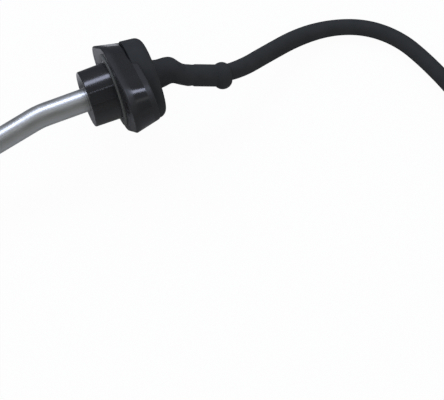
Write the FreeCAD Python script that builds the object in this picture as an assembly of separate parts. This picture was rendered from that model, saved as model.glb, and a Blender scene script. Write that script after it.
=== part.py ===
import FreeCAD, Part
import math
import os

# Oil level sensor with a bent probe tube, a two-bolt head and a short lead. Millimetres.
# X runs along the boss, positive towards the cable; the origin is on the sealing face.
# The head is drawn square, with its bolts along Z and both bends towards -Y, and is then
# rolled about X into the pose in which the sensor lies on a flat surface.

# Flange plate, with its two lobes standing proud round the boot's cap
waist_radius = 22.3
lobe_radius = 13.7
plate_thickness = 10.5
lobe_thickness = 13.6
plate_draft_deg = 12.5
plate_front_round = 0.8
plate_rear_round = 0.8

# Boss that enters the engine
boss_length = 15.0
boss_radius = 14.7
boss_draft_deg = 1.0
boss_end_round = 0.8
key_width = 6.0
key_height = 0.6
key_turn_deg = 19.0

# Bolt bushes
bolt_hole_radius = 3.3
bush_wall = 1.3
bush_proud = 0.1

# Flat seal ring at the foot of the boss, round a low seat that the key ends at
ring_seat_step = 0.7
ring_seat_radius = boss_radius + ring_seat_step
seal_ring_width = 3.6
seal_ring_radius = ring_seat_radius + seal_ring_width
seal_ring_thickness = 0.9
seal_ring_chamfer = 0.15

# Probe tube
tube_radius = 6.0
tube_wall = 1.0
tube_reach = 220.0
bend_from_boss = 25.0
bend_radius = 35.0
bend_deg = 11.96
collar_seat_depth = 1.0
collar_radius = 7.6
collar_thickness = 1.2
lock_ring_thickness = 2.0
tube_seal_section = 1.6
tube_seal_inset = 5.6

# Oil slots near the tube's tip
slot_count = 3
slot_length = 14.0
slot_width = 3.6
slot_gap = 5.0
slot_from_tip = 13.0

# Rear tub of the head, with its terminals
tub_radius = 17.0
tub_wall = 2.5
tub_height = 6.0
tub_floor_x = 4.0
ledge_x = 7.0
ledge_width = 2.5
snap_bead_height = 0.7
snap_bead_width = 1.6
carrier_thickness = 3.0
terminal_width = 2.8
terminal_thickness = 0.8
barrel_radius = 1.3
barrel_length = 3.2

# Wires and cores
wire_radius = 0.8
wire_pitch = 3.4

# Hot-wire element in the tip
strip_width = 8.0
strip_thickness = 1.6
strip_offset = 0.5
guide_length = 5.0
pin_radius = 0.5
pin_proud = 3.5
hot_wire_radius = 0.15
plug_head_length = 2.5
plug_head_round = 1.0
plug_spigot_length = 8.0
strip_in_plug = 4.5
cross_pin_radius = 0.75
cross_pin_from_end = 2.2

# Rubber boot: round cap, elbow, sleeve and bead
cap_radius = 21.75
bolt_from_cap = 6.95
bolt_circle = 2 * (cap_radius + bolt_from_cap)
cap_length = 10.3
cap_taper_deg = 6.5
cap_round = 4.2
cap_crown = 1.2
boot_wall = 1.9
sleeve_radius = 5.6
sleeve_turn_deg = 21.5
sleeve_start = (41.0, 7.45)
bead_radius = 6.9
bead_length = 8.4
bead_turn_deg = 9.0
bead_from_sleeve_start = 14.3
# Elbow sections: distance along X, offset towards the bend, radius, turn in degrees
elbow_sections = [
    (18.8, 0.0, 10.4, 0.0),
    (21.3, 0.0, 8.6, 0.0),
    (23.8, 0.0, 7.3, 0.0),
    (26.4, 0.0, 7.0, 0.0),
    (29.0, 0.05, 6.85, 3.0),
    (31.6, 1.2, 6.85, 8.0),
    (33.9, 3.4, 6.1, 12.0),
    (36.2, 5.35, 5.5, 16.0),
    (38.6, 6.5, 5.45, 20.0),
    (41.0, 7.45, 5.6, 21.5),
]

# Lead
cable_radius = 4.3
sheath_start_back = 3.0
roll_deg = 41.9

# Connector on the lead's end, along -Y
neck_radius = 6.4
neck_bore_radius = 5.5
neck_start = -4.0
block_start = 7.0
block_end = 16.0
shroud_end = 29.0
connector_width = 20.6
connector_height = 12.4
connector_round = 4.0
shroud_wall = 1.3
cap_ring_length = 3.0
connector_pitch = 5.6
blade_reach = 8.0
lock_thickness = 2.0
nib_length = 4.0
nib_height = 0.9
nib_width = 6.0

# Clearances
slide_fit = 0.05
press_fit = 0.02
cap_recess_gap = 0.3

# Places worked out from the sizes above
half_circle = bolt_circle / 2
draft = math.tan(math.radians(plate_draft_deg))
floor_z = -(half_circle * math.cos(math.radians(roll_deg)) + lobe_radius)
bend_x = -(boss_length + bend_from_boss)
tip_x = -(boss_length + tube_reach)
collar_x = -collar_seat_depth
lock_ring_x = collar_x + collar_thickness
tube_top_x = lock_ring_x + lock_ring_thickness
tube_bore_radius = tube_radius - tube_wall
counterbore_radius = collar_radius + 0.4
tube_seal_groove = tube_radius + tube_seal_section + press_fit
tub_end_x = plate_thickness + tub_height
tub_bore = tub_radius - tub_wall
carrier_top_x = ledge_x + carrier_thickness
lower_barrel_x = ledge_x - 0.5 - barrel_length
upper_barrel_x = carrier_top_x + 0.6
strip_face_y = -strip_offset
guide_x = tip_x + slot_from_tip + slot_count * slot_length + (slot_count - 1) * slot_gap + 3.0
post_x = tip_x + plug_spigot_length + 3.0

ORIGIN = FreeCAD.Vector(0, 0, 0)
ALONG = FreeCAD.Vector(1, 0, 0)
UP = FreeCAD.Vector(0, 0, 1)
SIDE = FreeCAD.Vector(0, 1, 0)


def vec(x, y, z):
    """Shorthand for a point or a direction."""
    return FreeCAD.Vector(x, y, z)


def disc(x, length, radius, y=0.0, z=0.0):
    """Round bar along X from x."""
    return Part.makeCylinder(radius, length, vec(x, y, z), ALONG)


def ring(x, length, outer, inner):
    """Plain ring along X from x."""
    return disc(x, length, outer).cut(disc(x, length, inner))


def block(x, length, width_y, width_z, y=0.0, z=0.0):
    """Box along X from x, centred on (y, z)."""
    corner = vec(x, y - width_y / 2, z - width_z / 2)
    return Part.makeBox(length, width_y, width_z, corner)


def turned(profile):
    """Body turned about X from a closed profile of (x, radius) points."""
    points = [vec(x, r, 0) for x, r in profile]
    face = Part.Face(Part.makePolygon(points + [points[0]]))
    return face.revolve(ORIGIN, ALONG, 360)


def lying(shape):
    """Roll a piece of the head about the boss axis into the resting pose."""
    piece = shape.copy()
    piece.rotate(ORIGIN, ALONG, roll_deg)
    return piece


def bent(shape):
    """Swing a piece of the straight tube to where it lies after the tube's bend."""
    piece = shape.copy()
    piece.rotate(vec(bend_x, 0, 0), UP, bend_deg)
    return piece


def rounded_path(points, radii=None):
    """Wire of straight runs joined by tangent arcs at the inner points, and the arcs' radii."""
    edges = []
    used = []
    start = points[0]
    for i in range(1, len(points) - 1):
        before = points[i] - points[i - 1]
        after = points[i + 1] - points[i]
        turn = before.getAngle(after)
        reach = 0.45 * min(before.Length, after.Length)
        if radii:
            reach = radii[i - 1] * math.tan(turn / 2)
        radius = reach / math.tan(turn / 2)
        into = vec(*before).normalize()
        out = vec(*after).normalize()
        first = points[i] - into * reach
        last = points[i] + out * reach
        inward = (out - into).normalize()
        centre = points[i] + inward * (radius / math.cos(turn / 2))
        middle = centre - inward * radius
        edges.append(Part.LineSegment(start, first).toShape())
        edges.append(Part.Arc(first, middle, last).toShape())
        used.append(radius)
        start = last
    edges.append(Part.LineSegment(start, points[-1]).toShape())
    return Part.Wire(edges), used


def swept(path, radius):
    """Round bar swept along a wire."""
    first = path.Edges[0]
    start = first.valueAt(first.FirstParameter)
    direction = first.tangentAt(first.FirstParameter)
    section = Part.Wire(Part.makeCircle(radius, start, direction))
    return path.makePipeShell([section], True, False)


def flange_outline(x, shrink):
    """Rhombic outline of the plate: lobe and waist arcs joined by tangent lines."""
    waist = waist_radius - shrink
    lobe = lobe_radius - shrink
    lean = math.acos((waist - lobe) / half_circle)
    s = math.sin(lean)
    c = math.cos(lean)
    edges = []
    for up in (1, -1):
        lobe_right = vec(x, up * lobe * s, up * (half_circle + lobe * c))
        lobe_left = vec(x, -up * lobe * s, up * (half_circle + lobe * c))
        lobe_top = vec(x, 0, up * (half_circle + lobe))
        waist_left = vec(x, -up * waist * s, up * waist * c)
        waist_low = vec(x, -up * waist * s, -up * waist * c)
        waist_mid = vec(x, -up * waist, 0)
        next_lobe = vec(x, -up * lobe * s, -up * (half_circle + lobe * c))
        edges.append(Part.Arc(lobe_right, lobe_top, lobe_left).toShape())
        edges.append(Part.LineSegment(lobe_left, waist_left).toShape())
        edges.append(Part.Arc(waist_left, waist_mid, waist_low).toShape())
        edges.append(Part.LineSegment(waist_low, next_lobe).toShape())
    return Part.Wire(edges)


def edges_at(shape, x):
    """Edges that lie whole in the plane at x."""
    return [e for e in shape.Edges if abs(e.BoundBox.XMin - x) + abs(e.BoundBox.XMax - x) < 1e-6]


def flange_plate():
    """Drafted two-lobe plate with rounded rims and a round recess for the boot's cap."""
    front = flange_outline(0, 0)
    rear = flange_outline(lobe_thickness, lobe_thickness * draft)
    plate = Part.makeLoft([front, rear], True, True)
    plate = plate.makeFillet(plate_front_round, edges_at(plate, 0))
    plate = plate.makeFillet(plate_rear_round, edges_at(plate, lobe_thickness))
    return plate.cut(disc(plate_thickness, lobe_thickness, cap_radius + cap_recess_gap))


def boss():
    """Round drafted boss on its ring seat, with a rounded nose and a raised key along it."""
    root = seal_ring_thickness - slide_fit
    nose_radius = boss_radius - (boss_length - root) * math.tan(math.radians(boss_draft_deg))
    body = turned([
        (-boss_length, 0),
        (-boss_length, nose_radius),
        (-root, boss_radius),
        (-root, ring_seat_radius),
        (1, ring_seat_radius),
        (1, 0),
    ])
    body = body.makeFillet(boss_end_round, edges_at(body, -boss_length))
    key_length = boss_length - root - boss_end_round
    key = block(-root - key_length, key_length, key_width, key_height + 2)
    key.translate(vec(0, 0, boss_radius + key_height / 2 - 1))
    key = key.makeFillet(0.25, [e for e in key.Edges if e.BoundBox.ZMin > boss_radius + 0.1])
    key.rotate(ORIGIN, ALONG, -key_turn_deg)
    return body.fuse(key)


def tub_profile(grow):
    """Outside of the rear tub with its snap bead, grown by a clearance."""
    r = tub_radius + grow
    bead_x = plate_thickness + tub_height / 2
    return [
        (plate_thickness - 1, 0),
        (plate_thickness - 1, r),
        (bead_x - snap_bead_width / 2, r),
        (bead_x, r + snap_bead_height),
        (bead_x + snap_bead_width / 2, r),
        (tub_end_x + grow, r),
        (tub_end_x + grow, 0),
    ]


def head_hollow():
    """Bore for the tube, its seal groove and seat, and the stepped rear cavity."""
    bore = tube_radius + slide_fit
    seal_x = -tube_seal_inset - tube_seal_section - 0.6
    return turned([
        (-boss_length - 1, 0),
        (-boss_length - 1, bore),
        (seal_x, bore),
        (seal_x, tube_seal_groove),
        (-tube_seal_inset, tube_seal_groove),
        (-tube_seal_inset, bore),
        (collar_x, bore),
        (collar_x, counterbore_radius),
        (tub_floor_x, counterbore_radius),
        (tub_floor_x, tub_bore - ledge_width),
        (ledge_x, tub_bore - ledge_width),
        (ledge_x, tub_bore),
        (tub_end_x + 1, tub_bore),
        (tub_end_x + 1, 0),
    ])


def head_moulding():
    """One black moulding: plate, boss, key and rear tub."""
    body = flange_plate().fuse([boss(), turned(tub_profile(0))])
    holes = [
        disc(-1, lobe_thickness + 2, bolt_hole_radius + bush_wall + press_fit, 0, side * half_circle)
        for side in (1, -1)
    ]
    body = body.cut(holes + [head_hollow()])
    return lying(body.removeSplitter())


def bolt_bushes():
    """Two steel sleeves that take the bolts' clamping load."""
    bushes = []
    for side in (1, -1):
        length = lobe_thickness + bush_proud
        bush = ring(0, length, bolt_hole_radius + bush_wall, bolt_hole_radius)
        bush = bush.makeChamfer(0.25, edges_at(bush, length) + edges_at(bush, 0))
        bush.translate(vec(0, 0, side * half_circle))
        bushes.append(lying(bush))
    return Part.makeCompound(bushes)


def seal_ring():
    """Flat ring round the seat at the foot of the boss, against the plate."""
    inner = ring_seat_radius + press_fit
    body = ring(-seal_ring_thickness, seal_ring_thickness, seal_ring_radius, inner)
    return lying(body.makeChamfer(seal_ring_chamfer, edges_at(body, -seal_ring_thickness)))


def tube_path(from_x, to_x, aside=0.0):
    """Centreline of the bent tube between two straight distances, or a line beside it."""
    start = vec(from_x, 0, aside)
    corner = vec(bend_x, 0, aside)
    end = vec(to_x, 0, aside)
    end = FreeCAD.Rotation(UP, bend_deg).multVec(end - corner) + corner
    path, _ = rounded_path([start, corner, end], [bend_radius])
    return path


def slot_cutter(x, length, width):
    """Slot with round ends right through the tube across its bend."""
    span = 4 * tube_radius
    r = width / 2
    body = block(x + r, length - width, span, width)
    for end in (x + r, x + length - r):
        body = body.fuse(Part.makeCylinder(r, span, vec(end, -span / 2, 0), SIDE))
    return body


def cross_hole(radius):
    """Cutter or pin across the tip, along the bolt line."""
    length = 2 * tube_radius
    return Part.makeCylinder(radius, length, vec(tip_x + cross_pin_from_end, 0, -length / 2), UP)


def probe_tube():
    """Drawn tube with one bend, a collar at its seat and oil slots near its tip."""
    outside = swept(tube_path(tube_top_x, tip_x), tube_radius)
    inside = swept(tube_path(tube_top_x + 1, tip_x - 1), tube_bore_radius)
    collar = ring(collar_x, collar_thickness, collar_radius, tube_radius - tube_wall / 2)
    cuts = [bent(cross_hole(cross_pin_radius + press_fit))]
    for i in range(slot_count):
        x = tip_x + slot_from_tip + i * (slot_length + slot_gap)
        cuts.append(bent(slot_cutter(x, slot_length, slot_width)))
    return lying(outside.fuse(collar).cut([inside] + cuts))


def tube_seal():
    """O-ring that seals the tube in the boss."""
    r = tube_seal_section / 2
    x = -tube_seal_inset - r - 0.3
    centre = tube_radius + r + press_fit / 2
    return lying(Part.makeTorus(centre, r, vec(x, 0, 0), ALONG))


def tube_lock_ring():
    """Pressed ring behind the tube's collar."""
    body = ring(lock_ring_x, lock_ring_thickness, counterbore_radius - press_fit, tube_radius + slide_fit)
    return lying(body.makeChamfer(0.3, edges_at(body, tube_top_x)))


def terminal_slot(side, grow):
    """Blade of a head terminal, or the slot that it passes through."""
    start = lower_barrel_x + barrel_length - 0.4
    length = upper_barrel_x - start + 0.4
    if grow:
        start = ledge_x - 1
        length = carrier_thickness + 2
    return block(
        start, length, terminal_width + 2 * grow, terminal_thickness + 2 * grow,
        0, side * wire_pitch / 2)


def terminal_carrier():
    """Moulded disc on the cavity's ledge that holds both terminals, with a wall between them."""
    body = disc(ledge_x, carrier_thickness, tub_bore - slide_fit)
    body = body.makeChamfer(0.5, edges_at(body, carrier_top_x))
    wall = block(ledge_x - 2, barrel_length + carrier_thickness + 3, 7.0, 0.6)
    body = body.fuse(wall)
    flats = [block(ledge_x - 3, 20, 3.0, 6.0, side * (tub_bore - 0.6), 0) for side in (1, -1)]
    slots = [terminal_slot(side, press_fit) for side in (1, -1)]
    return lying(body.cut(flats + slots).removeSplitter())


def head_terminal(side):
    """Brass blade with a crimp barrel at each end, for the probe wire and the cable's core."""
    z = side * wire_pitch / 2
    lower = disc(lower_barrel_x, barrel_length, barrel_radius, 0, z)
    upper = disc(upper_barrel_x, barrel_length, barrel_radius, 0, z)
    body = terminal_slot(side, 0).fuse([lower, upper])
    hole = wire_radius + press_fit
    holes = [
        disc(lower_barrel_x - 1, barrel_length, hole, 0, z),
        disc(upper_barrel_x + 1, barrel_length, hole, 0, z),
    ]
    return lying(body.cut(holes).removeSplitter())


def probe_wire(side):
    """Insulated wire from a head terminal down the tube to the element."""
    top = lower_barrel_x + barrel_length - 1
    bottom = guide_x + guide_length + pin_proud
    return lying(swept(tube_path(top, bottom, side * wire_pitch / 2), wire_radius))


def head_core(side):
    """Core of the cable from its cut sheath through the elbow to a head terminal."""
    z = side * wire_pitch / 2
    turn = math.radians(sleeve_turn_deg)
    x, offset = sleeve_start
    points = [vec(upper_barrel_x + 1, 0, z), vec(30.0, 0, z)]
    for back in (sheath_start_back + 1.8, sheath_start_back):
        points.append(vec(x - back * math.cos(turn), -(offset - back * math.sin(turn)), z))
    path, _ = rounded_path(points)
    return lying(swept(path, wire_radius))


def element_carrier():
    """Moulded strip with a guide at its top and a post at its foot that hold the hot wire."""
    thick = strip_thickness
    foot = tip_x + plug_spigot_length - strip_in_plug
    strip = block(foot, guide_x - foot, thick, strip_width, strip_face_y - thick / 2)
    guide = disc(guide_x, guide_length, tube_bore_radius - slide_fit)
    post = Part.makeCylinder(wire_pitch / 2 - hot_wire_radius - press_fit, 1.4,
                             vec(post_x, strip_face_y - 0.4, 0), SIDE)
    holes = [
        disc(guide_x - 1, guide_length + 2, pin_radius + press_fit, 0, side * wire_pitch / 2)
        for side in (1, -1)
    ]
    windows = []
    for i in range(slot_count):
        x = tip_x + slot_from_tip + i * (slot_length + slot_gap) + 1.0
        windows.append(block(x, slot_length - 2.0, 3 * thick, 2.4, strip_face_y - thick / 2))
    body = strip.fuse([guide, post]).cut(holes + windows)
    return lying(bent(body.removeSplitter()))


def element_pins():
    """Two brass pins through the guide, between the probe wires and the hot wire."""
    length = guide_length + 2 * pin_proud
    pins = [
        lying(bent(disc(guide_x - pin_proud, length, pin_radius, 0, side * wire_pitch / 2)))
        for side in (1, -1)
    ]
    return Part.makeCompound(pins)


def hot_wire():
    """Resistance wire from one pin round the post and back to the other."""
    half = wire_pitch / 2
    top = guide_x - pin_proud
    edges = [
        Part.LineSegment(vec(top, 0, half), vec(post_x, 0, half)).toShape(),
        Part.Arc(vec(post_x, 0, half), vec(post_x - half, 0, 0), vec(post_x, 0, -half)).toShape(),
        Part.LineSegment(vec(post_x, 0, -half), vec(top, 0, -half)).toShape(),
    ]
    return lying(bent(swept(Part.Wire(edges), hot_wire_radius)))


def end_plug():
    """Plug that closes the tube's tip and holds the strip's foot."""
    head = disc(tip_x - plug_head_length, plug_head_length, tube_radius)
    head = head.makeFillet(plug_head_round, edges_at(head, tip_x - plug_head_length))
    spigot = disc(tip_x, plug_spigot_length, tube_bore_radius - slide_fit)
    thick = strip_thickness + 2 * press_fit
    slot = block(tip_x + plug_spigot_length - strip_in_plug, strip_in_plug + 1, thick,
                 strip_width + 2 * press_fit, strip_face_y - strip_thickness / 2)
    body = head.fuse(spigot).cut([slot, cross_hole(cross_pin_radius + press_fit)])
    return lying(bent(body.removeSplitter()))


def end_pin():
    """Pin across tube and plug."""
    return lying(bent(cross_hole(cross_pin_radius)))


def sleeve_point(distance):
    """Point on the sleeve's axis, as it lies, at a distance from the sleeve's start."""
    turn = math.radians(sleeve_turn_deg)
    x, offset = sleeve_start
    point = vec(x + distance * math.cos(turn), -(offset + distance * math.sin(turn)), 0)
    return FreeCAD.Rotation(ALONG, roll_deg).multVec(point)


def cable_points():
    """Route of the lead: out of the sleeve, down to the surface and along it in one bend."""
    low = floor_z + cable_radius
    held = floor_z + neck_radius
    return [
        sleeve_point(-sheath_start_back),
        sleeve_point(11.5),
        vec(65.7, -7.9, -12.5),
        vec(80.6, -2.4, -20.2),
        vec(100.8, 3.5, -27.8),
        vec(119.0, 3.2, low),
        vec(135.5, -3.2, low),
        vec(148.5, -15.2, low),
        vec(156.6, -30.9, low),
        vec(164.5, -52.1, low),
        vec(168.1, -72.8, held),
        vec(168.1, -87.0, held),
    ]


def cable():
    """Round sheathed lead, swept along its route."""
    points = cable_points()
    path, radii = rounded_path(points)
    body = swept(path, cable_radius)
    print("cable radii mm:", [round(r, 1) for r in radii])
    print("cable runs mm:", [round((b - a).Length, 1) for a, b in zip(points, points[1:])])
    print("cable length mm:", round(path.Length, 1))
    section = math.pi * cable_radius ** 2
    print("cable volume share:", round(body.Volume / (section * path.Length), 5))
    return body


def elbow(inset):
    """Elbow lofted through its sections, or its hollow, from the tub's end, when inset."""
    wires = []
    sections = list(elbow_sections)
    if inset:
        sections.insert(0, (tub_end_x, 0.0, sections[0][2], 0.0))
    for x, offset, radius, turn_deg in sections:
        turn = math.radians(turn_deg)
        normal = vec(math.cos(turn), -math.sin(turn), 0)
        wires.append(Part.Wire(Part.makeCircle(radius - inset, vec(x, -offset, 0), normal)))
    return Part.makeLoft(wires, True, False)


def cap():
    """Round cap behind the plate, tapered, rounded at its rear and a little crowned there."""
    rear = plate_thickness + cap_length
    rear_radius = cap_radius - cap_length * math.tan(math.radians(cap_taper_deg))
    body = turned([
        (plate_thickness, 0),
        (plate_thickness, cap_radius),
        (rear, rear_radius),
        (rear + cap_crown, elbow_sections[1][2]),
        (rear + cap_crown, 0),
    ])
    body = body.makeFillet(cap_round, edges_at(body, rear))
    return body.makeFillet(0.5, edges_at(body, plate_thickness))


def bead():
    """Round bead at the sleeve's mouth, turned a little towards the cable's way out."""
    half = bead_length / 2
    low = bead_radius - 2.4
    edges = [
        Part.LineSegment(vec(-half, 0, 0), vec(-half, low, 0)).toShape(),
        Part.Arc(vec(-half, low, 0), vec(0, bead_radius, 0), vec(half, low, 0)).toShape(),
        Part.LineSegment(vec(half, low, 0), vec(half, 0, 0)).toShape(),
        Part.LineSegment(vec(half, 0, 0), vec(-half, 0, 0)).toShape(),
    ]
    body = Part.Face(Part.Wire(edges)).revolve(ORIGIN, ALONG, 360)
    body.rotate(ORIGIN, UP, bead_turn_deg - sleeve_turn_deg)
    body = lying(body)
    body.translate(sleeve_point(bead_from_sleeve_start))
    return body


def rubber_boot():
    """One rubber moulding: cap over the tub, elbow, sleeve on the cable and bead."""
    outside = lying(cap().fuse(elbow(0)))
    start = sleeve_point(0)
    direction = sleeve_point(1) - start
    sleeve = Part.makeCylinder(sleeve_radius, bead_from_sleeve_start, start, direction)
    outside = outside.fuse([sleeve, bead()])
    recess = turned(tub_profile(slide_fit))
    passage = [lying(recess), lying(elbow(boot_wall))]
    path, _ = rounded_path(cable_points()[:4])
    passage.append(swept(path, cable_radius + press_fit))
    return outside.cut(passage)


def in_connector(shape):
    """Turn a connector piece drawn along +X to lie along -Y at the cable's end."""
    piece = shape.copy()
    piece.rotate(ORIGIN, UP, -90)
    piece.translate(cable_points()[-1])
    return piece


def oval(x, length, width, height, corner):
    """Block along X with its four long edges rounded."""
    body = block(x, length, width, height)
    return body.makeFillet(corner, [e for e in body.Edges if e.BoundBox.XLength > length - 1e-6])


def connector_body():
    """Moulded socket: round neck, oval block, open shroud and lock nib."""
    neck = disc(neck_start, block_start - neck_start + 1, neck_radius)
    whole = shroud_end - block_start
    body = oval(block_start, whole, connector_width, connector_height, connector_round)
    body = body.makeFillet(0.6, edges_at(body, block_start) + edges_at(body, shroud_end))
    nib = block(shroud_end - nib_length - 2, nib_length, nib_width, 2 * nib_height)
    nib.translate(vec(0, 0, connector_height / 2))
    nib = nib.makeChamfer(nib_height * 0.9, [
        e for e in edges_at(nib, shroud_end - 2) if e.BoundBox.ZMin > connector_height / 2 + 0.1])
    body = body.fuse([neck, nib])
    cavity = oval(block_end, shroud_end - block_end + 1, connector_width - 2 * shroud_wall,
                  connector_height - 2 * shroud_wall, connector_round - shroud_wall)
    rear = disc(neck_start - 1, block_start + 1 - neck_start, neck_bore_radius)
    slots = [terminal_way(side) for side in (1, -1)]
    return in_connector(body.cut([cavity, rear] + slots).removeSplitter())


def terminal_way(side):
    """Way through the block for one terminal."""
    y = side * connector_pitch / 2
    way = block(block_start - 1, block_end - block_start + 2, terminal_width + 2 * press_fit,
                terminal_thickness + 2 * press_fit, y)
    crimp = disc(block_start - 1, barrel_length + 1.6, barrel_radius + slide_fit, y)
    return way.fuse(crimp)


def connector_terminal(side):
    """Brass blade in the shroud with its crimp barrel behind it."""
    y = side * connector_pitch / 2
    start = block_start + barrel_length
    tip = block_end + blade_reach
    blade = block(start - 0.4, tip - start + 0.4, terminal_width, terminal_thickness, y)
    blade = blade.makeChamfer(0.3, [e for e in edges_at(blade, tip)])
    barrel = disc(block_start, barrel_length, barrel_radius, y)
    hole = disc(block_start - 1, barrel_length, wire_radius + press_fit, y)
    return in_connector(blade.fuse(barrel).cut(hole).removeSplitter())


def connector_core(side):
    """Core from the cable's end to a connector terminal."""
    inner = side * wire_pitch / 2
    outer = side * connector_pitch / 2
    points = [vec(0, inner, 0), vec(2, inner, 0), vec(5, outer, 0), vec(block_start + 1, outer, 0)]
    path, _ = rounded_path(points)
    return in_connector(swept(path, wire_radius))


def connector_seal():
    """Ribbed rubber ring between the cable's sheath and the socket's neck."""
    start = neck_start + 0.6
    inner = cable_radius + press_fit
    outer = neck_bore_radius - press_fit
    valley = outer - 0.4
    return in_connector(turned([
        (start, inner), (start, valley), (start + 0.7, outer), (start + 1.4, valley),
        (start + 2.1, outer), (start + 2.8, valley), (start + 2.8, inner)]))


def connector_cap():
    """Rear cap that keeps the seal in the neck."""
    inner = cable_radius + slide_fit
    spigot = neck_bore_radius - slide_fit
    start = neck_start - cap_ring_length
    body = turned([
        (start, inner), (start, neck_radius - 0.7), (start + 0.7, neck_radius),
        (neck_start, neck_radius), (neck_start, spigot), (neck_start + 0.55, spigot),
        (neck_start + 0.55, inner)])
    return in_connector(body)


def connector_lock():
    """Plate on the cavity's floor that locks both terminals."""
    body = oval(block_end, lock_thickness, connector_width - 2 * shroud_wall - 2 * slide_fit,
                connector_height - 2 * shroud_wall - 2 * slide_fit, connector_round - shroud_wall)
    slots = [
        block(block_end - 1, lock_thickness + 2, terminal_width + 2 * press_fit,
              terminal_thickness + 2 * press_fit, side * connector_pitch / 2)
        for side in (1, -1)
    ]
    return in_connector(body.cut(slots))


def build():
    """Every piece by its name."""
    pieces = {
        "head_moulding": head_moulding(),
        "bolt_bushes": bolt_bushes(),
        "seal_ring": seal_ring(),
        "probe_tube": probe_tube(),
        "tube_seal": tube_seal(),
        "tube_lock_ring": tube_lock_ring(),
        "terminal_carrier": terminal_carrier(),
        "element_carrier": element_carrier(),
        "element_pins": element_pins(),
        "hot_wire": hot_wire(),
        "end_plug": end_plug(),
        "end_pin": end_pin(),
        "rubber_boot": rubber_boot(),
        "cable": cable(),
        "connector_body": connector_body(),
        "connector_cap": connector_cap(),
        "connector_seal": connector_seal(),
        "connector_lock": connector_lock(),
    }
    for name, side in (("a", 1), ("b", -1)):
        pieces["head_terminal_" + name] = head_terminal(side)
        pieces["probe_wire_" + name] = probe_wire(side)
        pieces["head_core_" + name] = head_core(side)
        pieces["connector_terminal_" + name] = connector_terminal(side)
        pieces["connector_core_" + name] = connector_core(side)
    return pieces


os.makedirs("parts", exist_ok=True)
for name, shape in build().items():
    shape.exportStep("parts/" + name + ".step")
    print(name, len(shape.Solids), "solids", round(shape.Volume, 1), "mm3", shape.isValid())
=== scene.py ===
import math

import bmesh
import bpy
from mathutils import Matrix, Vector


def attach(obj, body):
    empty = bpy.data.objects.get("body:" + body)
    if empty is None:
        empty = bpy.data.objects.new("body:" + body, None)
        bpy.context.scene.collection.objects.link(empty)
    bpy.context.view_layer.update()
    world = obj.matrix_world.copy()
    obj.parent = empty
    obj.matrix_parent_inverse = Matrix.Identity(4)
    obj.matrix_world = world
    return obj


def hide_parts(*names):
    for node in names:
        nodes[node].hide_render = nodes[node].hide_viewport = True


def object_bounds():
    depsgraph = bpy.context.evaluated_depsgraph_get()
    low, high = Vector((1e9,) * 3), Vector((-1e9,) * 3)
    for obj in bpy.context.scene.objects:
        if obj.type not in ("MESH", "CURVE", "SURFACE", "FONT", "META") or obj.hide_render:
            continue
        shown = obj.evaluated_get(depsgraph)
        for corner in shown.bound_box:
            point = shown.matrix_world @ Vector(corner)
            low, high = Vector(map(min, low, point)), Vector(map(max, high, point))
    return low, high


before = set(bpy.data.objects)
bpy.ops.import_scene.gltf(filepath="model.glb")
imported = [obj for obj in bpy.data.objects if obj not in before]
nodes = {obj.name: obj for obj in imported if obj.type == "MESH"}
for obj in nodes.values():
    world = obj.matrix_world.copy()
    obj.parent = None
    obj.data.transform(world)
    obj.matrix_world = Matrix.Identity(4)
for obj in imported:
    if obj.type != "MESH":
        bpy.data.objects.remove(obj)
cad_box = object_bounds()


# Probe tube. A drawn aluminium tube with one bend, pushed through the boss and held by its
# collar and a pressed steel ring. Its skin is satin, with fine drawing lines along it.
def feed(tree, node, inputs):
    """Link other nodes' outputs to a node's inputs, or set fixed values there."""
    for label, value in inputs.items():
        if isinstance(value, bpy.types.NodeSocket):
            tree.links.new(value, node.inputs[label])
        else:
            node.inputs[label].default_value = value


def add_node(tree, kind, inputs=None, **settings):
    """New shader node with its settings and with what goes into it."""
    node = tree.nodes.new(kind)
    for name, value in settings.items():
        setattr(node, name, value)
    feed(tree, node, inputs or {})
    return node


def effect(name, inputs, outputs):
    """New shader node group with its sockets, and its ends."""
    group = bpy.data.node_groups.new(name, "ShaderNodeTree")
    for label, kind in inputs:
        group.interface.new_socket(label, in_out="INPUT", socket_type="NodeSocket" + kind)
    for label, kind in outputs:
        group.interface.new_socket(label, in_out="OUTPUT", socket_type="NodeSocket" + kind)
    return group, group.nodes.new("NodeGroupInput"), group.nodes.new("NodeGroupOutput")


def stretched_noise(group, given, detail):
    """Noise over object coordinates stretched by the group's own input."""
    coords = add_node(group, "ShaderNodeTexCoord")
    mapping = add_node(group, "ShaderNodeMapping", {
        "Vector": coords.outputs["Object"], "Scale": given.outputs["Stretch"]})
    noise = add_node(group, "ShaderNodeTexNoise", {
        "Vector": mapping.outputs["Vector"], "Scale": 1.0, "Detail": detail})
    return noise.outputs["Fac"]


def spread(group, value, low=0.0, high=1.0):
    """Value near a half, spread over the whole range from low to high."""
    node = add_node(group, "ShaderNodeMapRange", {
        "Value": value, "From Min": 0.3, "From Max": 0.7, "To Min": low, "To Max": high})
    return node.outputs["Result"]


def mottle_effect():
    """Soft patches between two colours and two roughnesses."""
    group, given, result = effect(
        "mottle",
        [("Stretch", "Vector"), ("Dark", "Color"), ("Light", "Color"),
         ("Smooth", "Float"), ("Rough", "Float")],
        [("Colour", "Color"), ("Roughness", "Float")])
    patches = stretched_noise(group, given, detail=4.0)
    colour = add_node(group, "ShaderNodeMix", {
        "Factor": spread(group, patches), "A": given.outputs["Dark"],
        "B": given.outputs["Light"]}, data_type="RGBA")
    feed(group, result, {
        "Colour": colour.outputs["Result"],
        "Roughness": spread(group, patches, given.outputs["Smooth"], given.outputs["Rough"])})
    return group


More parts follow.
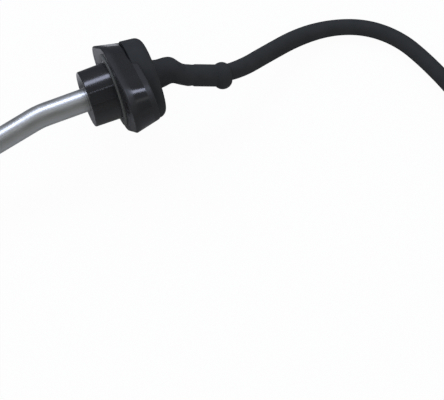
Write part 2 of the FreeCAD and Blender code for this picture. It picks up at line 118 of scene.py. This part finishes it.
def grain_effect():
    """Fine relief of a real depth in metres, over edges softened by half a millimetre."""
    group, given, result = effect(
        "grain", [("Stretch", "Vector"), ("Depth", "Float")], [("Normal", "Vector")])
    edges = add_node(group, "ShaderNodeBevel", {"Radius": 0.0005})
    bump = add_node(group, "ShaderNodeBump", {
        "Normal": edges.outputs["Normal"], "Height": stretched_noise(group, given, detail=2.0),
        "Distance": given.outputs["Depth"]})
    feed(group, result, {"Normal": bump.outputs["Normal"]})
    return group


mottle = mottle_effect()
grain = grain_effect()


def finish(name, tones, roughness, patch, pores, depth, metallic=0.0, shine=0.5):
    """Material with patches between two tones and two roughnesses, and a fine relief.

    Patch and pores count the noise's cells per metre along X, Y and Z. Depth is the relief's,
    in metres.
    """
    material = bpy.data.materials.new(name)
    material.use_nodes = True
    tree = material.node_tree
    (dark, light), (smooth, rough) = tones, roughness
    skin = add_node(tree, "ShaderNodeGroup", {
        "Stretch": patch, "Dark": (*dark, 1), "Light": (*light, 1),
        "Smooth": smooth, "Rough": rough}, node_tree=mottle)
    fine = add_node(tree, "ShaderNodeGroup", {"Stretch": pores, "Depth": depth},
                    node_tree=grain)
    feed(tree, tree.nodes["Principled BSDF"], {
        "Metallic": metallic, "Specular IOR Level": shine,
        "Base Color": skin.outputs["Colour"], "Roughness": skin.outputs["Roughness"],
        "Normal": fine.outputs["Normal"]})
    return material


def dress(material, *names):
    """Give CAD nodes a finish."""
    for name in names:
        materials = nodes[name].data.materials
        materials.clear()
        materials.append(material)


dress(finish("drawn_aluminium", [(0.82, 0.85, 0.84), (0.90, 0.93, 0.92)], (0.36, 0.46),
             patch=(120, 300, 300), pores=(40, 1400, 1400), depth=0.000012, metallic=1.0),
      "probe_tube")


# Element. A moulded strip in the tube carries two brass pins and the resistance wire that
# the oil cools; it stands in the end plug, which a steel pin crosses at the tube's tip.
moulded = {"patch": (90, 90, 90), "pores": (2600, 2600, 2600), "depth": 0.00001}
dress(finish("carrier_plastic", [(0.50, 0.46, 0.37), (0.60, 0.56, 0.46)], (0.5, 0.6),
             **moulded), "element_carrier", "terminal_carrier")
dress(finish("plug_plastic", [(0.035, 0.035, 0.037), (0.05, 0.05, 0.052)], (0.46, 0.55),
             **moulded), "end_plug")

metal_patch = (700, 700, 700)
rolled = {"patch": metal_patch, "pores": (300, 2000, 2000), "metallic": 1.0}
dress(finish("stamped_brass", [(0.60, 0.44, 0.20), (0.74, 0.57, 0.30)], (0.28, 0.42),
             depth=0.000004, **rolled),
      "element_pins", "head_terminal_a", "head_terminal_b", "connector_terminal_a",
      "connector_terminal_b")
dress(finish("resistance_wire", [(0.45, 0.44, 0.43), (0.6, 0.6, 0.6)], (0.34, 0.48),
             depth=0.000002, **rolled), "hot_wire")

coated_steel = {"patch": metal_patch, "pores": (1800, 1800, 1800), "depth": 0.000004}
dress(finish("zinc_steel", [(0.52, 0.52, 0.50), (0.68, 0.68, 0.66)], (0.3, 0.44),
             metallic=1.0, **coated_steel), "end_pin", "tube_lock_ring")


# Head. One black moulding, glossy but for the plate's front edge and all behind its parting:
# two-lobe plate, boss with its raised key, and the tub. Two blackened steel bushes stand in
# its lobes and take the bolts' load.
def place_along(tree, axis):
    """Object coordinate along one axis, in metres."""
    coords = add_node(tree, "ShaderNodeTexCoord")
    split = add_node(tree, "ShaderNodeSeparateXYZ", {"Vector": coords.outputs["Object"]})
    return split.outputs[axis]


def graded(tree, value, low, high, stops):
    """Grey that follows a value between low and high, by stops of value and grey."""
    share = add_node(tree, "ShaderNodeMapRange", {
        "Value": value, "From Min": low, "From Max": high})
    ramp = add_node(tree, "ShaderNodeValToRGB", {"Fac": share.outputs["Result"]})
    elements = ramp.color_ramp.elements
    while len(elements) < len(stops):
        elements.new(0.5)
    for element, (at, grey) in zip(elements, stops):
        element.position = (at - low) / (high - low)
        element.color = (grey, grey, grey, 1)
    return ramp.outputs["Color"]


def satin_bands_effect():
    """Roughness with a satin band at the plate's front edge and all satin behind its parting."""
    group, given, result = effect(
        "satin_bands", [("Polished", "Float"), ("Satin", "Float")], [("Roughness", "Float")])
    mask = graded(group, place_along(group, "X"), -0.001, 0.014, [
        (-0.0001, 0.0), (0.0001, 1.0), (0.0014, 0.9), (0.0045, 0.0), (0.0103, 0.0),
        (0.0108, 0.85)])
    mix = add_node(group, "ShaderNodeMix", {
        "Factor": mask, "A": given.outputs["Polished"], "B": given.outputs["Satin"]})
    feed(group, result, {"Roughness": mix.outputs["Result"]})
    return group


gloss_black = finish("gloss_black_plastic", [(0.010, 0.011, 0.014), (0.015, 0.016, 0.020)],
                     (0.16, 0.22), patch=(60, 160, 160), pores=(900, 900, 900),
                     depth=0.000006, shine=1.0)
head_tree = gloss_black.node_tree
head_bsdf = head_tree.nodes["Principled BSDF"]
bands = add_node(head_tree, "ShaderNodeGroup", {
    "Polished": head_bsdf.inputs["Roughness"].links[0].from_socket, "Satin": 0.6},
    node_tree=satin_bands_effect())
feed(head_tree, head_bsdf, {"Roughness": bands.outputs["Roughness"]})
dress(gloss_black, "head_moulding")
dress(finish("blackened_steel", [(0.03, 0.03, 0.032), (0.06, 0.06, 0.062)], (0.34, 0.46),
             metallic=0.6, **coated_steel), "bolt_bushes")


# Seals. A rubber ring lies round the foot of the boss, against the plate, and an O-ring
# seals the tube inside the boss.
rubbery = {"patch": (140, 140, 140), "pores": (1500, 1500, 1500), "depth": 0.00003}
dress(finish("seal_rubber", [(0.10, 0.107, 0.103), (0.125, 0.133, 0.129)], (0.5, 0.6),
             **rubbery), "seal_ring", "tube_seal")


# Wires. Two insulated wires run from the terminals in the tub down the tube, and the lead's
# two cores come in through the elbow.
insulated = {**moulded, "depth": 0.000005}
dress(finish("red_insulation", [(0.36, 0.03, 0.02), (0.46, 0.04, 0.03)], (0.4, 0.5),
             **insulated), "probe_wire_a", "head_core_a", "connector_core_a")
dress(finish("black_insulation", [(0.02, 0.02, 0.02), (0.03, 0.03, 0.03)], (0.4, 0.5),
             **insulated), "probe_wire_b", "head_core_b", "connector_core_b")


# Boot. One matt rubber moulding snapped over the tub: a round cap, an elbow and a sleeve
# that ends in a bead round the lead.
matt_shine = 0.1
dress(finish("boot_rubber", [(0.031, 0.034, 0.036), (0.038, 0.041, 0.043)], (0.66, 0.78),
             shine=matt_shine, **rubbery), "rubber_boot")


# Lead. A round rubber-sheathed cable of two cores that leaves the boot's sleeve, sinks to
# the surface and runs along it in one open bend to its connector.
cable_radius = 0.0043
# X, Y and Z in metres, then the thickness there as a share of the radius.
cable_route = [
    (0.038209, -0.004727, -0.004241, 1.0),
    (0.051700, -0.008682, -0.007790, 0.97),
    (0.0657, -0.0079, -0.0125, 1.06),
    (0.0806, -0.0024, -0.0202, 1.065),
    (0.1008, 0.0035, -0.0278, 1.06),
    (0.1190, 0.0032, -0.030762, 0.95),
    (0.1355, -0.0032, -0.030762, 0.95),
    (0.1485, -0.0152, -0.030762, 0.96),
    (0.1566, -0.0309, -0.030762, 0.97),
    (0.1645, -0.0521, -0.030762, 0.98),
    (0.1681, -0.0728, -0.028662, 1.0),
    (0.1681, -0.0870, -0.028662, 1.0),
]


def show(name, data):
    """New object in the scene."""
    thing = bpy.data.objects.new(name, data)
    bpy.context.scene.collection.objects.link(thing)
    return thing


def route_curve(name, points, radius):
    """Smooth round curve with the route's points, and its thickness there, as control points."""
    curve = bpy.data.curves.new(name, "CURVE")
    curve.dimensions = "3D"
    curve.bevel_depth = radius
    curve.bevel_resolution = 8
    curve.use_fill_caps = True
    spline = curve.splines.new("NURBS")
    spline.points.add(len(points) - 1)
    for target, (x, y, z, thickness) in zip(spline.points, points):
        target.co = (x, y, z, 1)
        target.radius = thickness
    spline.order_u = 3
    spline.use_endpoint_u = True
    spline.resolution_u = 12
    return show(name, curve)


lead = route_curve("lead_sheath", cable_route, cable_radius)
lead.data.materials.append(finish(
    "sheath_rubber", [(0.029, 0.032, 0.034), (0.037, 0.040, 0.042)], (0.56, 0.68),
    shine=matt_shine, **rubbery))
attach(lead, "root")
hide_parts("cable")


# Connector. A two-way sealed socket of black plastic: rear cap, rust-red seal round the
# sheath, shroud with a lock nib, and a grey plate that locks both blades.
dress(finish("connector_plastic", [(0.025, 0.025, 0.027), (0.035, 0.035, 0.038)],
             (0.44, 0.53), **moulded), "connector_body", "connector_cap")
dress(finish("grommet_rubber", [(0.30, 0.09, 0.04), (0.38, 0.13, 0.06)], (0.44, 0.56),
             **rubbery), "connector_seal")
dress(finish("lock_plastic", [(0.40, 0.41, 0.41), (0.48, 0.49, 0.48)], (0.46, 0.55),
             **moulded), "connector_lock")


# Floor, lights and camera. A white sheet, its reflections painted with light and shade, one long
# soft lamp behind and above, a grey room with one bright strip overhead, and a long lens at the
# photograph's angle.
floor_half_width = 3.0
floor_gap = 0.0001
floor_mesh = bmesh.new()
bmesh.ops.create_grid(floor_mesh, x_segments=1, y_segments=1, size=floor_half_width)
bmesh.ops.translate(floor_mesh, verts=floor_mesh.verts, vec=(0, 0, cad_box[0].z - floor_gap))
floor_data = bpy.data.meshes.new("floor")
floor_mesh.to_mesh(floor_data)
floor_mesh.free()
floor = show("floor", floor_data)


def by_ray(tree, mirrored, scattered, seen):
    """Colour by kind of ray: a grey if seen by the camera, a grey if scattered, else mirrored."""
    path = add_node(tree, "ShaderNodeLightPath")
    colour = mirrored
    for kind, grey in (("Is Diffuse Ray", scattered), ("Is Camera Ray", seen)):
        mix = add_node(tree, "ShaderNodeMix", data_type="RGBA")
        feed(tree, mix, {"Factor": path.outputs[kind], "A": colour, "B": (grey, grey, grey, 1)})
        colour = mix.outputs["Result"]
    return colour


def white_sheet():
    """White paper seen near full white by the camera. Its reflections show painted light and
    shade:
    a grey across Y with a painted bright band, and painted shade under the part.
    """
    material = bpy.data.materials.new("white_sheet")
    material.use_nodes = True
    tree = material.node_tree
    # Painted light and shade in reflections: a grey across Y with a painted bright band.
    painted_reflection_grey = graded(tree, place_along(tree, "Y"), -0.10, 0.10, [
        (-0.10, 0.30), (-0.04, 0.38), (0.0, 0.34), (0.021, 0.18), (0.03, 1.0), (0.041, 1.0),
        (0.046, 0.14), (0.10, 0.14)])
    # Painted shade: the grey is darkened where the part is near, under and beside it.
    painted_contact_shade = add_node(tree, "ShaderNodeAmbientOcclusion", {"Distance": 0.02}, samples=4)
    shade = add_node(tree, "ShaderNodeMath", {0: painted_contact_shade.outputs["AO"], 1: 2.4},
                     operation="POWER")
    painted_light_and_shade = add_node(tree, "ShaderNodeMath", {0: painted_reflection_grey, 1: shade.outputs["Value"]},
                      operation="MULTIPLY")
    bsdf = tree.nodes["Principled BSDF"]
    feed(tree, bsdf, {
        "Roughness": 0.9, "Specular IOR Level": 0.1,
        "Base Color": by_ray(tree, painted_light_and_shade.outputs["Value"], scattered=0.88, seen=0.92)})
    path = add_node(tree, "ShaderNodeLightPath")
    glow_share = add_node(tree, "ShaderNodeMath", {0: path.outputs["Is Camera Ray"], 1: 0.96},
                          operation="MULTIPLY")
    glow = add_node(tree, "ShaderNodeEmission")
    mix = add_node(tree, "ShaderNodeMixShader", {
        "Fac": glow_share.outputs["Value"], 1: bsdf.outputs["BSDF"],
        2: glow.outputs["Emission"]})
    feed(tree, tree.nodes["Material Output"], {"Surface": mix.outputs["Shader"]})
    return material


floor.data.materials.append(white_sheet())


def stand(thing, place, x_axis, y_axis, z_axis):
    """Put a lamp or the camera at a place, turned to three axes."""
    turned = Matrix((x_axis, y_axis, z_axis)).transposed().to_4x4()
    thing.matrix_world = Matrix.Translation(place) @ turned


lamp_distance = 1.2
lamp_shift = Vector((0.05, 0, 0))
along_lamp = Vector((1, 0, 0))
lamp_heading = Vector((0.0, 0.655, 0.755)).normalized()
lamp_data = bpy.data.lights.new("softbox", "AREA")
lamp_data.shape = "RECTANGLE"
lamp_data.size = 1.4
lamp_data.size_y = 0.34
lamp_data.energy = 6.8
lamp_data.color = (0.73, 0.78, 1.0)
stand(show("softbox", lamp_data), lamp_heading * lamp_distance + lamp_shift,
      along_lamp, lamp_heading.cross(along_lamp), lamp_heading)

# Degrees round the X axis and the room's grey there: 0 is overhead, 90 is towards +Y.
room_tones = [(-180, 0.20), (-68, 0.18), (-56, 0.12), (-16, 0.13), (-10, 0.50), (-4, 0.50),
              (1, 0.16), (30, 0.16), (60, 0.19), (80, 0.17), (180, 0.12)]
world = bpy.data.worlds.new("studio")
bpy.context.scene.world = world
world.use_nodes = True
sky = world.node_tree
heading = add_node(sky, "ShaderNodeTexCoord")
split = add_node(sky, "ShaderNodeSeparateXYZ", {"Vector": heading.outputs["Generated"]})
lean = add_node(sky, "ShaderNodeMath", {0: split.outputs["Y"], 1: split.outputs["Z"]},
                operation="ARCTAN2")
room = graded(sky, lean.outputs["Value"], -math.pi, math.pi,
              [(math.radians(degrees), tone) for degrees, tone in room_tones])
feed(sky, sky.nodes["Background"], {"Color": by_ray(sky, room, scattered=0.55, seen=1.0)})

azimuth, elevation = math.radians(-21.17), math.radians(69.9)
right = Vector((math.cos(azimuth), math.sin(azimuth), 0))
toward = Vector((math.sin(azimuth) * math.cos(elevation),
                 -math.cos(azimuth) * math.cos(elevation), math.sin(elevation)))
upward = toward.cross(right)
aim_right, aim_down = 0.054, 0.0552
lens_distance = 3.0
picture_width = 0.222
camera_data = bpy.data.cameras.new("camera")
camera_data.sensor_fit = "HORIZONTAL"
camera_data.sensor_width = 36.0
camera_data.lens = camera_data.sensor_width * lens_distance / picture_width
camera_data.clip_start = 0.5
camera = show("camera", camera_data)
stand(camera, right * aim_right - upward * aim_down + toward * lens_distance,
      right, upward, toward)
bpy.context.scene.camera = camera
bpy.context.scene.view_settings.view_transform = "Standard"
